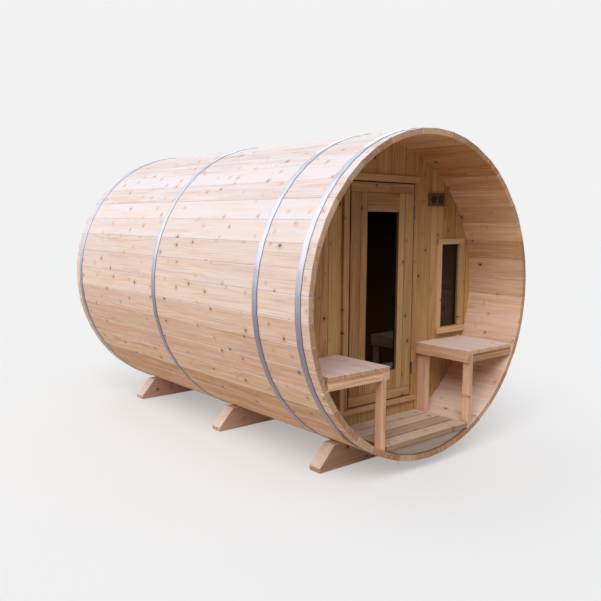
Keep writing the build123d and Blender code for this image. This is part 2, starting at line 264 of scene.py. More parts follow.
def softwood(
    name, young, old, knot, end, bleach,
    bleaching=0.8, contrast=1.0, spread=0.6, sawn=0.0, branch_radius=0.0115,
):
    """Knotty softwood, cut from a solid log: growth rings drawn 6 mm apart and fibres 4 mm wide, both
    coarse so that they show, round a wandering pith, colour streaks 30 mm wide, and knots up to 20 mm
    wide, one at most in each 170 by 140 mm. It gives the eye fine straight lines, dark knots that draw
    them aside and fade where the wood is bleached, and dark joints, partly painted shade in the gaps.
    The bleach colour also paints highlights on upturned edges. Scales are counts in a metre along,
    across and through the log."""
    branch_cell = (0.17, 0.14, 0)
    rag_scale, rag_depth = 150.0, 0.004
    halo_width, ring_bend = 0.022, 0.012
    ring_gap = 0.006
    wander_scale, wander_reach = (1.1, 8, 8), (0, 0.03, 0.03)
    fibre_scale, streak_scale, stroke_scale = (5, 240, 240), (1.8, 32, 32), (170, 9, 9)
    figure_shares = (0.22, 1.0, 0.6)
    relief_depth = 0.0006
    grime_and_shade_tint = "A08C7C"
    material, tree = new_finish(name)
    grain = add(tree, "Attribute", attribute_name="grain")["Vector"]
    marks = add(tree, "Attribute", attribute_name="board")["Vector"]
    shade = add(tree, "SeparateXYZ", {0: marks})
    end_face = add(tree, "Attribute", attribute_name="end")["Fac"]
    grime_and_shade = add(tree, "Attribute", attribute_name="grime_and_shade")["Fac"]
    weather_and_highlight = add(tree, "Attribute", attribute_name="weather_and_highlight")["Fac"]

    per_cell = (1 / branch_cell[0], 1 / branch_cell[1], 0)
    cells = add(tree, "VectorMath", {0: grain, 1: per_cell}, operation="MULTIPLY")[0]
    branch = add(tree, "TexVoronoi", {"Vector": cells, "Scale": 1.0}, voronoi_dimensions="2D")
    aside = add(tree, "VectorMath", {0: cells, 1: branch["Position"]}, operation="SUBTRACT")[0]
    metres = add(tree, "VectorMath", {0: aside, 1: branch_cell}, operation="MULTIPLY")[0]
    pick = add(tree, "SeparateColor", {0: branch["Color"]})
    slant = add(tree, "MapRange", {"Value": pick[2], "To Min": 0.7, "To Max": 1.3})[0]
    squeeze = add(tree, "CombineXYZ", {0: slant, 1: 1.0})[0]
    squeezed = add(tree, "VectorMath", {0: metres, 1: squeeze}, operation="MULTIPLY")[0]
    distance = add(tree, "VectorMath", {0: squeezed}, operation="LENGTH")["Value"]
    ragged = add(tree, "TexNoise", {"Vector": grain, "Scale": rag_scale, "Detail": 2.0})["Fac"]
    rounded = add(tree, "Math", {0: ragged, 1: rag_depth, 2: distance}, operation="MULTIPLY_ADD")[0]
    radius = add(tree, "MapRange", {"Value": pick[0], "To Min": -0.003, "To Max": branch_radius})[0]
    darkness = add(tree, "MapRange", {"Value": pick[1], "To Min": 0.75, "To Max": 1.0})[0]
    depth = add(tree, "Math", {0: radius, 1: rounded}, operation="SUBTRACT")[0]
    knot_span = {"Value": depth, "From Max": 0.001, "To Max": darkness}
    in_knot = add(tree, "MapRange", knot_span, interpolation_type="SMOOTHSTEP")[0]
    halo_span = {"Value": depth, "From Min": -halo_width, "From Max": 0.0}
    halo = add(tree, "MapRange", halo_span, interpolation_type="SMOOTHSTEP")[0]

    slow = add(tree, "VectorMath", {0: grain, 1: wander_scale}, operation="MULTIPLY")[0]
    wander = add(tree, "TexNoise", {"Vector": slow, "Scale": 1.0, "Detail": 2.0})["Color"]
    section = add(tree, "VectorMath", {0: grain, 1: (0, 1, 1)}, operation="MULTIPLY")[0]
    bent = add(tree, "VectorMath", {0: wander, 1: wander_reach, 2: section}, operation="MULTIPLY_ADD")[0]
    from_pith = add(tree, "VectorMath", {0: bent}, operation="LENGTH")["Value"]
    drawn = add(tree, "Math", {0: halo, 1: ring_bend, 2: from_pith}, operation="MULTIPLY_ADD")[0]
    years = add(tree, "Math", {0: drawn, 1: ring_gap}, operation="DIVIDE")[0]
    season = add(tree, "Math", {0: years}, operation="FRACT")[0]
    late_span = {"Value": season, "From Min": 0.4, "From Max": 0.95}
    late = add(tree, "MapRange", late_span, interpolation_type="SMOOTHSTEP")[0]

    fine = add(tree, "VectorMath", {0: grain, 1: fibre_scale}, operation="MULTIPLY")[0]
    fibre = add(tree, "TexNoise", {"Vector": fine, "Scale": 1.0, "Detail": 3.0})["Fac"]
    broad = add(tree, "VectorMath", {0: grain, 1: streak_scale}, operation="MULTIPLY")[0]
    streak_span = {"Vector": broad, "Scale": 1.0, "Detail": 4.0, "Roughness": 0.74}
    streaks = add(tree, "TexNoise", streak_span)["Color"]
    streak = add(tree, "SeparateColor", {0: streaks})
    parts = add(tree, "CombineXYZ", {0: late, 1: streak[0], 2: fibre})[0]
    figure = add(tree, "VectorMath", {0: parts, 1: figure_shares}, operation="DOT_PRODUCT")["Value"]
    toned = add(tree, "Math", {0: shade[0], 1: spread, 2: figure}, operation="MULTIPLY_ADD")[0]
    usual = 0.87 + spread / 2
    age_span = {"Value": toned, "From Min": usual - 0.6 / contrast, "From Max": usual + 0.6 / contrast}
    age = add(tree, "MapRange", age_span)[0]
    plain = add(tree, "Mix", {0: age, 6: colour(young), 7: colour(old)}, data_type="RGBA")[2]
    lightness = add(tree, "MapRange", {"Value": shade[1], "To Min": 0.96, "To Max": 1.04})[0]
    mixed = add(tree, "Math", {0: shade[2], 1: 0.35, 2: streak[1]}, operation="MULTIPLY_ADD")[0]
    hue_span = {"Value": mixed, "From Min": 0.35, "From Max": 1.0, "To Min": 0.489, "To Max": 0.513}
    hue = add(tree, "MapRange", hue_span)[0]
    own = add(tree, "HueSaturation", {"Hue": hue, "Value": lightness, "Color": plain})[0]

    fade_span = {"Value": streak[2], "From Min": 0.3, "From Max": 0.6}
    fade_span.update({"To Min": bleaching / 2, "To Max": bleaching})
    fade = add(tree, "MapRange", fade_span)[0]
    # Sun bleaching and painted highlights, mixed towards the bleach colour.
    bleach_and_highlight = add(tree, "Math", {0: weather_and_highlight, 1: fade}, operation="MULTIPLY", use_clamp=True)[0]
    bleached_and_lit = add(tree, "Mix", {0: bleach_and_highlight, 6: own, 7: colour(bleach)}, data_type="RGBA")[2]
    warm = add(tree, "Math", {0: halo, 1: 0.35}, operation="MULTIPLY")[0]
    ringed = add(tree, "Mix", {0: warm, 6: bleached_and_lit, 7: colour(old)}, data_type="RGBA")[2]
    unfaded = add(tree, "Math", {0: bleach_and_highlight, 1: -0.45, 2: 1.0}, operation="MULTIPLY_ADD")[0]
    dark_knot = add(tree, "Math", {0: in_knot, 1: unfaded}, operation="MULTIPLY")[0]
    knotted = add(tree, "Mix", {0: dark_knot, 6: ringed, 7: colour(knot)}, data_type="RGBA")[2]
    end_share = add(tree, "MapRange", {"Value": shade[1], "To Min": 1.0, "To Max": 0.6})[0]
    end_span = {"Value": end_face, "From Min": 0.3, "From Max": 0.9, "To Max": end_share}
    sawn_end = add(tree, "MapRange", end_span)[0]
    cut = {0: sawn_end, 6: knotted, 7: colour(end)}
    ended = add(tree, "Mix", cut, data_type="RGBA", blend_type="MULTIPLY")[2]
    # Darkened edges and keel: dirt in the joints and painted shade in the gaps and under the floors.
    grime_and_shade_mix = {0: grime_and_shade, 6: ended, 7: colour(grime_and_shade_tint)}
    soiled_and_shaded = add(tree, "Mix", grime_and_shade_mix, data_type="RGBA", blend_type="MULTIPLY")[2]

    relief = add(tree, "Math", {0: late, 1: 0.5, 2: fibre}, operation="MULTIPLY_ADD")[0]
    if sawn:
        strokes = add(tree, "VectorMath", {0: grain, 1: stroke_scale}, operation="MULTIPLY")[0]
        kerf = add(tree, "TexNoise", {"Vector": strokes, "Scale": 1.0, "Detail": 2.0})["Fac"]
        relief = add(tree, "Math", {0: kerf, 1: sawn, 2: relief}, operation="MULTIPLY_ADD")[0]
    bump = add(tree, "Bump", {"Height": relief, "Strength": 0.35, "Distance": relief_depth})[0]
    rough = add(tree, "MapRange", {"Value": fibre, "To Min": 0.45, "To Max": 0.70})[0]
    surface = {"Base Color": soiled_and_shaded, "Roughness": rough, "Normal": bump, "Specular IOR Level": 0.35}
    shader = add(tree, "BsdfPrincipled", surface)[0]
    add(tree, "OutputMaterial", {"Surface": shader})
    return material


# The cradles' upward faces are bleached nearly white: sun bleaching, and partly painted light that lifts
# the shade under the barrel.
sawn_softwood = softwood(
    "sawn_softwood", "DFBCA7", "AA826C", "5A3A2A", "E6D6C8", "F6E8E2",
    bleaching=1.0, contrast=1.5, sawn=2.5,
)
for node in ("front_cradle", "middle_cradle", "rear_cradle"):
    low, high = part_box(node)
    corners = [low.x, low.x + cradle_bevel, high.x - cradle_bevel, high.x]
    places = np.unique(np.concatenate([np.linspace(low.x, high.x, cradle_points), corners]))
    bevel = np.interp(places, corners, [cradle_toe, high.z, high.z, cradle_toe])
    top = np.minimum(bevel, flats_below(places, outer_flat + saddle_clearance))
    rings = slab(places, low.z, top, -high.y, -low.y, cradle_ease)
    timber = board(rings, facing_front, 0, new_log(), sky=(0, 0, 1))
    assemble(node + "_timber", [timber], sawn_softwood, "sauna", "cradle_timber", node)

# Staves
# The barrel's boards, milled from knotty pale softwood with edges bevelled to close the circle. The outer
# arrises are taken off, and a croze is cut across the inner face for each end wall.
stave_thickness = 0.035
stave_joint = 0.0003
stave_arris = 0.0035
stave_inner_ease = 0.002
stave_end_ease = 0.003
stave_unevenness = 0.0025
croze_depth = 0.010
croze_clearance = 0.0003
inner_flat = outer_flat - stave_thickness
front_end, rear_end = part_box("staves_crown")[0].y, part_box("staves_crown")[1].y
wall_face, wall_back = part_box("front_wall_left")[0].y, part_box("front_wall_left")[1].y
room_end, back_wall_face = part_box("back_wall")[0].y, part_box("back_wall")[1].y
stave_groups = {
    "staves_crown": 6,
    "staves_left_shoulder": 6,
    "staves_left_flank": 5,
    "staves_left_haunch": 6,
    "staves_keel": 6,
    "staves_right_haunch": 6,
    "staves_right_flank": 5,
    "staves_right_shoulder": 6,
}


def stave(turn):
    """Rings of a stave: the section narrows towards the barrel's axis, place = half face * distance /
    flat, and is carried along the barrel. In the two crozes its inner side steps outwards."""
    half_face = outer_flat * np.tan(np.pi / stave_count) - stave_joint / 2
    eases = (stave_arris, stave_arris, stave_inner_ease, stave_inner_ease)
    places, levels = eased_loop(np.array([-half_face, half_face]), inner_flat, outer_flat, eases)
    inset = stave_end_ease * (1 - np.sin(quarter))
    lift = stave_end_ease * (1 - np.cos(quarter))
    walls = np.array([[wall_face, wall_back], [room_end, back_wall_face]])
    steps = np.repeat(walls + [-croze_clearance, croze_clearance], 2)
    cut = np.tile([0.0, 1.0, 1.0, 0.0], 2)
    short_front, short_rear = chance.uniform(0, stave_unevenness, 2)
    ends = (front_end + short_front + lift, rear_end - short_rear - lift[::-1])
    along = np.concatenate([ends[0], steps, ends[1]])[:, None]
    insets = np.concatenate([inset, 0 * steps, inset[::-1]])[:, None]
    cuts = np.concatenate([0 * inset, cut, 0 * inset])[:, None]
    w = np.where((cuts > 0) & (levels < inner_flat + croze_depth), inner_flat + croze_depth, levels)
    middle = (inner_flat + outer_flat) / 2
    w = middle + (w - middle) * (1 - 2 * insets / stave_thickness)
    s = places * w / outer_flat * (1 - insets / half_face)
    rings = np.stack(np.broadcast_arrays(s, along, w), axis=-1)
    facing = np.array([[np.sin(turn), 0, -np.cos(turn)], [0, 1, 0], [np.cos(turn), 0, np.sin(turn)]])
    return {**board(rings, facing, 1, new_log(), (0, 0, axis_height), facing[2]), "round": True}


pale_softwood = softwood(
    "planed_pale_softwood", "EDC399", "B97A45", "381A0A", "D2DAF2", "E6DFE3",
    bleaching=1.2, contrast=2.0, spread=0.5, branch_radius=0.012,
)
turn = stave_turns[0] - 2 * np.pi / stave_count * (stave_groups["staves_crown"] // 2)
for node, count in stave_groups.items():
    turns = turn + 2 * np.pi / stave_count * np.arange(count)
    turn = turns[-1] + 2 * np.pi / stave_count
    assemble(node + "_boards", [stave(t) for t in turns], pale_softwood, "sauna", "stave_timber", node)

# Steel bands
# Four hoops of bright cold-rolled strip pull the staves together. Each lies on the flats, bends over the
# joints, and two of them sit over the grooves of the end walls.
band_width = 0.045
band_thickness = 0.002
band_clearance = 0.0003
band_ease = 0.0006
front_band_place = 0.080
middle_band_place = 1.526
steps_per_stave = 8
hoop_grain_shift = 7
no_wear = {"along": np.zeros(3), "across": np.zeros(3), "sky": np.zeros(3)}


def hoop(middle):
    """Rings of a hoop: a flat section carried round the barrel at the distance flat + rise *
    (1 - cos(n turn)) / 2, which is lowest on the middle of each stave and highest over the joints."""
    turns = np.linspace(0, 2 * np.pi, stave_count * steps_per_stave, endpoint=False)[:, None]
    flat = outer_flat + band_clearance
    rise = flat * (1 / np.cos(np.pi / stave_count) - 1)
    swell = rise * (1 - np.cos(stave_count * (turns - stave_turns[0]))) / 2
    edges = np.array([-band_width / 2, band_width / 2])
    places, levels = eased_loop(edges, 0, band_thickness, 4 * (band_ease,))
    distance = flat + swell + levels
    across, up = distance * np.cos(turns), axis_height + distance * np.sin(turns)
    spots = np.stack(np.broadcast_arrays(across, middle + places, up), axis=-1)
    length = outer_flat * turns + hoop_grain_shift * middle
    grain = np.stack(np.broadcast_arrays(length, places, levels), axis=-1)
    return {"rings": spots, "grain": grain, "shade": chance.random(3), "closed": True, **no_wear}


def rolled_steel(name, tint, dim, edge, smooth, coarse):
    """Cold-rolled strip steel, brushed along its length: streaks drawn 4 mm wide so that they show,
    patches of oil and handling a hand wide, a painted shadow line 4 mm wide along one edge, and painted
    shade that dims it towards the ground, for the darker reflection there. It gives the eye a bright
    grey with long soft highlights above and a duller one below."""
    brush_scale, patch_scale = (3, 250, 250), 9.0
    ground_shade_start, ground_shade_full = 1.42, 0.78
    edge_start, edge_full = -0.0165, -0.0205
    brush_depth = 0.0002
    material, tree = new_finish(name)
    grain = add(tree, "Attribute", attribute_name="grain")["Vector"]
    drawn = add(tree, "VectorMath", {0: grain, 1: brush_scale}, operation="MULTIPLY")[0]
    brushed = add(tree, "TexNoise", {"Vector": drawn, "Scale": 1.0, "Detail": 4.0})["Fac"]
    patch = add(tree, "TexNoise", {"Vector": grain, "Scale": patch_scale, "Detail": 3.0})["Fac"]
    rough_span = {"Value": brushed, "From Min": 0.3, "From Max": 0.7, "To Min": smooth, "To Max": coarse}
    rough = add(tree, "MapRange", rough_span)[0]
    dull_span = {"Value": patch, "From Min": 0.35, "From Max": 0.7, "To Max": 0.25}
    dull = add(tree, "MapRange", dull_span)[0]
    height = add(tree, "SeparateXYZ", {0: add(tree, "TexCoord")["Object"]})["Z"]
    # Painted shade: darker towards the ground, standing for the ground's darker reflection.
    ground_shade_span = {"Value": height, "From Min": ground_shade_start, "From Max": ground_shade_full}
    ground_shade = add(tree, "MapRange", ground_shade_span, interpolation_type="SMOOTHSTEP")[0]
    across = add(tree, "SeparateXYZ", {0: grain})["Y"]
    # Painted shadow: one edge darkened, for the shadow line beside the strip.
    edge_shadow_span = {"Value": across, "From Min": edge_start, "From Max": edge_full, "To Max": 0.8}
    edge_shadow = add(tree, "MapRange", edge_shadow_span)[0]
    # Oil patches together with the painted shade towards the ground.
    soiled_and_shaded = add(tree, "Math", {0: dull, 1: ground_shade}, operation="MAXIMUM")[0]
    strip = add(tree, "Mix", {0: soiled_and_shaded, 6: colour(tint), 7: colour(dim)}, data_type="RGBA")[2]
    tone = add(tree, "Mix", {0: edge_shadow, 6: strip, 7: colour(edge)}, data_type="RGBA")[2]
    bump = add(tree, "Bump", {"Height": brushed, "Strength": 0.1, "Distance": brush_depth})[0]
    surface = {"Base Color": tone, "Metallic": 1.0, "Roughness": rough, "Normal": bump}
    shader = add(tree, "BsdfPrincipled", surface)[0]
    add(tree, "OutputMaterial", {"Surface": shader})
    return material


# The bluish tint is partly a painted reflection of the sky; the lavender grey towards the ground and the
# dark edge colour are painted shade.
band_steel = rolled_steel("cold_rolled_strip", "E4E9FA", "8B828F", "4E4854", 0.20, 0.38)
band_middles = [
    front_end + front_band_place,
    (wall_face + wall_back) / 2,
    front_end + middle_band_place,
    (room_end + back_wall_face) / 2,
]
hoops = [hoop(middle) for middle in band_middles]
assemble("steel_band_hoops", hoops, band_steel, "sauna", "band_steel", "steel_bands", smooth=True)

# End walls
# Vertical boards milled from the same stock as the staves, with a small V at each joint on both faces.
# Their ends follow the croze. The front wall is cut for the doorway, the window and two vent holes.
wall_pitch = 0.127
wall_first_joint = -0.425
wall_joints = wall_first_joint + wall_pitch * np.arange(-6, 13)
wall_v_joint = 0.0025
wall_step = 0.004
wall_edge_margin = 0.001
hairline = 0.0002
wall_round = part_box("back_wall")[1].x
pane_clearance = 0.0003
vent_hole_radius = 0.028
vent_hole_spacing = 0.072
doorway_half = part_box("front_wall_right")[0].x
sill_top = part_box("front_wall_under_door")[1].z
doorway_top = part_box("front_wall_over_door")[0].z
vent_low, vent_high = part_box("vent_plate")
vent_middle = (vent_low + vent_high) / 2
pane_low, pane_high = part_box("window_glass")
window_sides = (pane_low.x - pane_clearance, pane_high.x + pane_clearance)
window_levels = (pane_low.z - pane_clearance, pane_high.z + pane_clearance)


def vent_lift(places):
    """Half the height of the nearer vent hole at each place: sqrt(radius^2 - aside^2), or nothing."""
    aside = np.abs(np.abs(places - vent_middle.x) - vent_hole_spacing / 2)
    return np.sqrt(np.clip(vent_hole_radius**2 - aside**2, 0, None))


def boarding(left, right, floor, ceiling, back, front, logs, holed=False):
    """Boards of a wall panel between two places across, each a slab from the wall's lower arc or floor to
    its upper arc or ceiling. Where a panel has openings, the boards are divided round them."""
    vent_reach = vent_hole_spacing / 2 + vent_hole_radius + hairline
    vent_sides = (vent_middle.x - vent_reach, vent_middle.x + vent_reach)
    cuts = [left, right, *wall_joints, *(window_sides + vent_sides if holed else ())]
    edges = np.unique([cut for cut in cuts if left <= cut <= right])
    made = []
    for start, stop in zip(edges, edges[1:]):
        places = np.linspace(start, stop, max(6, int((stop - start) / wall_step)))
        arc = np.sqrt(wall_round**2 - places**2)
        low, high = np.maximum(axis_height - arc, floor), np.minimum(axis_height + arc, ceiling)
        middle = (start + stop) / 2
        spans = [(low, high)]
        if holed and window_sides[0] < middle < window_sides[1]:
            spans = [(low, window_levels[0]), (window_levels[1], high)]
        if holed and vent_sides[0] < middle < vent_sides[1]:
            bottom, top = spans[-1]
            lift = vent_lift(places)
            spans = spans[:-1] + [(bottom, vent_middle.z - lift), (vent_middle.z + lift, top)]
        eases = [wall_v_joint if edge in wall_joints else hairline for edge in (start, stop)]
        row = int((middle - wall_joints[0]) // wall_pitch)
        heart = wall_joints[row] + wall_pitch / 2
        for bottom, top in spans:
            rings = slab(places, bottom, top, back, front, hairline, 2 * eases)
            # joined=0.7 darkens board edges: dirt in the joints and painted shade in the V-joints.
            made.append(board(rings, facing_front, 1, logs[row], heart=heart, joined=0.7))
    return made


wall_softwood = softwood(
    "planed_wall_boards", "D4AC77", "9B6B3A", "3A1E0C", "D8BC9C", "D9B48C",
    bleaching=0.0, contrast=1.5, spread=0.4,
)
edge_of_wall = wall_round - wall_edge_margin
above, below = axis_height + wall_round, axis_height - wall_round
front_logs = [new_log() for _ in wall_joints[1:]]
back_logs = [new_log() for _ in wall_joints[1:]]
panels = {
    "front_wall_left": (-edge_of_wall, -doorway_half, below, above),
    "front_wall_over_door": (-doorway_half, doorway_half, doorway_top, above),
    "front_wall_under_door": (-doorway_half, doorway_half, below, sill_top),
    "front_wall_right": (doorway_half, edge_of_wall, below, above),
}
for node, sides in panels.items():
    boards = boarding(*sides, -wall_back, -wall_face, front_logs, node == "front_wall_right")
    assemble(node + "_boards", boards, wall_softwood, "sauna", "wall_boarding", node)
boards = boarding(-edge_of_wall, edge_of_wall, below, above, -back_wall_face, -room_end, back_logs)
assemble("back_wall_boards", boards, wall_softwood, "sauna", "wall_boarding", "back_wall")

# Floors and fascia
# Planed boards lie across the barrel with narrow gaps, on the porch and in the room. A fascia cut to the
# staves closes the space under the porch's front board.
floor_board_gap = 0.006
floor_board_pitch = 0.104
floor_ease = 0.003
floor_softwood = softwood(
    "worn_floor_boards", "D2AE92", "946A4C", "42240F", "CDB09A", "D6C4BA", bleaching=0.6, contrast=1.7
)
fascia_softwood = softwood(
    "greyed_fascia_board", "C6AE9E", "947C6C", "42240F", "CDB09A", "CCC2BE", bleaching=0.8, contrast=1.7
)
for node in ("porch_floor", "sauna_floor"):
    low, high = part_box(node)
    count = round((high.y - low.y) / floor_board_pitch)
    edges = np.linspace(low.y, high.y + floor_board_gap, count + 1)
    boards = []
    for start, stop in zip(edges, edges[1:] - floor_board_gap):
        rings = slab([low.x, high.x], start, stop, low.z, high.z, floor_ease)
        # joined=0.5 darkens board edges: dirt in the gaps and painted shade there.
        boards.append(board(rings, facing_up, 0, new_log(), sky=(0, 0, 1), joined=0.5))
    assemble(node + "_boards", boards, floor_softwood, "sauna", "floor_timber", node)
fascia_clearance = 0.0003
fascia_least_height = 0.004
fascia_rim_ease = 0.005
fascia_end_ease = 0.0015
fascia_points = 101
fascia_shade = np.array([0.8, 0.2, 0.5])
low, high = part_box("porch_fascia")
places = np.linspace(low.x, high.x, fascia_points)
curve = flats_below(places, inner_flat - fascia_clearance)
foot = np.minimum(curve, high.z - fascia_least_height)
rings = slab(places, foot, high.z, -high.y, -low.y, fascia_rim_ease, 4 * (fascia_end_ease,))
fascia = board(rings, facing_front, 0, (new_log()[0], fascia_shade), sky=(0, -1, 0))
assemble("porch_fascia_board", [fascia], fascia_softwood, "sauna", "floor_timber", "porch_fascia")

# Doorway
# Trim boards nailed round the doorway, a thicker sill under the leaf, and two stops on the room side.
# They are planed boards with eased edges.
trim_ease = 0.002
trim_softwood = softwood(
    "planed_trim", "DDBA90", "AE8358", "42240F", "D8BC9C", "D9B48C",
    bleaching=0.0, contrast=1.4, spread=0.4,
)


def from_box(node, facing):
    """Lowest and highest places of a node's box along the three directions of a facing."""
    ends = np.array([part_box(node)[0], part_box(node)[1]]) @ facing.T
    return ends.min(axis=0), ends.max(axis=0)


def plain_board(node, along, ease, joined=0.0, depth=None):
    """One square board with eased edges that fills a node's box."""
    low, high = from_box(node, facing_front)
    rings = slab([low[0], high[0]], low[1], high[1], low[2], high[2], ease)
    return board(rings, facing_front, along, new_log(depth), joined=joined)


def pair_of_boards(node, width, ease):
    """Two upright boards at the left and right ends of a node's box."""
    low, high = from_box(node, facing_front)
    sides = ((low[0], low[0] + width), (high[0] - width, high[0]))
    slabs = [slab(side, low[1], high[1], low[2], high[2], ease) for side in sides]
    return [board(rings, facing_front, 1, new_log()) for rings in slabs]


stop_width = 0.030
for node, along, finish in (
    ("door_trim_left", 1, wall_softwood),
    ("door_trim_right", 1, wall_softwood),
    ("door_head_trim", 0, wall_softwood),
    ("door_sill", 0, trim_softwood),
):
    # joined=0.4 darkens trim edges: dirt at the joints and painted shade in the gap beside the leaf.
    trim = plain_board(node, along, trim_ease, joined=0.4)
    assemble(node + "_board", [trim], finish, "sauna", "joinery_timber", node)
stops = pair_of_boards("door_stops", stop_width, trim_ease)
assemble("door_stop_boards", stops, trim_softwood, "sauna", "joinery_timber", "door_stops")

# Door leaf
# Full-width rails at the top and bottom hold two stiles of jointed boards, a filler rail and a boarded
# panel, all planed softwood. A pane of dark toughened glass sits in the opening between them.
leaf_softwood = softwood(
    "planed_leaf_boards", "C8A074", "8A5C2A", "42240F", "D8BC9C", "D9B48C",
    bleaching=0.0, contrast=1.5, spread=0.4,
)
leaf_ease = 0.0015
leaf_v_joint = 0.002
stile_joint_share = 0.40
# joined=1.0 darkens the edges of rails and stiles: dirt in the joints and painted shade in the gaps round
# the leaf.
for node, depth in (("door_top_rail", 0.55), ("door_bottom_rail", 0.3), ("door_filler_rail", 0.95)):
    rail = plain_board(node, 0, leaf_ease, joined=1.0, depth=depth)
    assemble(node + "_board", [rail], leaf_softwood, "door", "joinery_timber", node)
# The given depths set each board's tone; the left stile's deep tone and the right stile's pale one are
# partly painted shade and light, for the shade on the porch's left side.
for node, share, depths in (
    ("door_left_stile", 1 - stile_joint_share, (1.0, 0.8)),
    ("door_right_stile", stile_joint_share, (0.1, 0.3)),
    ("door_lower_panel", 0.5, (0.4, 0.6)),
):
    low, high = from_box(node, facing_front)
    joint = low[0] + share * (high[0] - low[0])
    near = (leaf_ease, leaf_v_joint, leaf_ease, leaf_v_joint)
    far = (leaf_v_joint, leaf_ease, leaf_v_joint, leaf_ease)
    boards = []
    for side, eases, depth in (((low[0], joint), near, depths[0]), ((joint, high[0]), far, depths[1])):
        rings = slab(side, low[1], high[1], low[2], high[2], leaf_ease, eases)
        boards.append(board(rings, facing_front, 1, new_log(depth), joined=1.0))
    assemble(node + "_boards", boards, leaf_softwood, "door", "joinery_timber", node)


def toughened_glass(name, tint):
    """Dark tinted toughened glass: clear and smooth, with faint smears a hand wide in its roughness. It
    gives the eye a near-black pane with soft reflections."""
    smear_scale = 11.0
    material, tree = new_finish(name)
    place = add(tree, "TexCoord")["Object"]
    smear = add(tree, "TexNoise", {"Vector": place, "Scale": smear_scale, "Detail": 3.0})["Fac"]
    rough_span = {"Value": smear, "From Min": 0.4, "From Max": 0.7, "To Min": 0.01, "To Max": 0.07}
    rough = add(tree, "MapRange", rough_span)[0]
    surface = {"Base Color": colour(tint), "Roughness": rough, "Transmission Weight": 1.0, "IOR": 1.5}
    shader = add(tree, "BsdfPrincipled", {**surface, "Specular IOR Level": 0.5})[0]
    add(tree, "OutputMaterial", {"Surface": shader})
    return material


dark_glass = toughened_glass("dark_toughened_glass", "3A2A20")
for node in ("door_glass", "window_glass"):
    pane = frame["nodes"][node]
    pane.data.materials.clear()
    pane.data.materials.append(dark_glass)

# Hinges
# Two butt hinges of dull grey steel on the right edge of the leaf. The frame leaves have the outer
# knuckles and the pin, and the door leaves have the middle knuckle.
hinge_height = 0.076
hinge_leaf_thickness = 0.0025
hinge_leaf_depth = 0.030
knuckle_radius = 0.006
knuckle_gap = 0.0004
hinge_ease = 0.0005
hinge_grain_reach = 5.0
pin_tip_height = 0.003
pin_tip_radius = 0.0045
pin_tip_flat = 0.2
hinge_axis = frame["joints"][0]["pos_m"]
knuckle_height = (hinge_height - 2 * knuckle_gap) / 3


def metal(spots):
    """A metal part whose brushing follows its height."""
    grain = spots[..., [2, 0, 1]] + chance.uniform(0, hinge_grain_reach, 3)
    return {"rings": spots, "grain": grain, "shade": chance.random(3), **no_wear}


def turned(radii, heights, centre, around=20):
    """Rings of a round piece on an upright axis: a circle of each radius at each height."""
    angles = np.linspace(0, 2 * np.pi, around, endpoint=False)
    across = centre[0] + np.outer(radii, np.cos(angles))
    along = centre[1] + np.outer(radii, np.sin(angles))
    return metal(np.stack(np.broadcast_arrays(across, along, np.asarray(heights)[:, None]), axis=-1))


def knuckle(middle, height, tip):
    """A hinge knuckle: a tube with eased ends, and a small domed tip of the pin where it has one."""
    half = height / 2
    radii = [knuckle_radius - hinge_ease, knuckle_radius, knuckle_radius, knuckle_radius - hinge_ease]
    heights = [middle - half, middle - half + hinge_ease, middle + half - hinge_ease, middle + half]
    parts = [turned(radii, heights, hinge_axis)]
    if tip:
        dome = np.linspace(0, np.pi / 2 - pin_tip_flat, 5)
        rise = middle + tip * (half + pin_tip_height * np.sin(dome))
        order = slice(None) if tip > 0 else slice(None, None, -1)
        parts.append(turned((pin_tip_radius * np.cos(dome))[order], rise[order], hinge_axis))
    return parts


hinge_steel = rolled_steel("dull_zinc_steel", "7E7A72", "67635C", "67635C", 0.40, 0.6)
for node, body, outer in (("hinge_frame_leaves", "sauna", True), ("hinge_door_leaves", "door", False)):
    low, high = from_box(node, facing_side)
    parts = []
    for middle in (low[1] + hinge_height / 2, high[1] - hinge_height / 2):
        levels = (middle - hinge_height / 2, middle + hinge_height / 2)
        near = high[2] - hinge_leaf_thickness if outer else low[2]
        sides = (near, near + hinge_leaf_thickness)
        leaf = slab([high[0] - hinge_leaf_depth, high[0]], *levels, *sides, hinge_ease)
        parts.append(metal(leaf @ facing_side))
        step = knuckle_height + knuckle_gap
        knuckles = [(middle - step, -1), (middle + step, 1)] if outer else [(middle, 0)]
        for centre, tip in knuckles:
            reach = [hinge_axis[1], high[0] - hinge_leaf_depth + hinge_ease]
            half = knuckle_height / 2
            arm = slab(reach, centre - half, centre + half, *sides, hinge_ease)
            parts.append(metal(arm @ facing_side))
            parts += knuckle(centre, knuckle_height, tip)
    assemble(node + "_steel", parts, hinge_steel, body, "hinge_steel", node)

# Window
# Trim boards round the narrow opening and a proud sill, nailed to the wall, with a fixed pane of the
# same dark glass as the door.
window_trim_width = 0.040
trims = pair_of_boards("window_side_trims", window_trim_width, trim_ease)
assemble("window_side_trim_boards", trims, trim_softwood, "sauna", "joinery_timber", "window_side_trims")
for node in ("window_head_trim", "window_sill"):
    trim = plain_board(node, 0, trim_ease)
    assemble(node + "_board", [trim], trim_softwood, "sauna", "joinery_timber", node)

# Vent
# A small plate of dark-stained wood, fixed over two round holes through the wall. Each of its own two
# holes is crossed by four slanted louvres.
louvre_count = 4
louvre_thickness = 0.003
louvre_depth = 0.010
louvre_ease = 0.0005
louvre_slant = np.radians(35)
vent_ease = 0.0015
vent_points = 48
vent_wood = softwood(
    "dark_stained_wood", "7C6242", "594630", "2A1A10", "D8BC9C", "6B4E36", bleaching=0.0
)


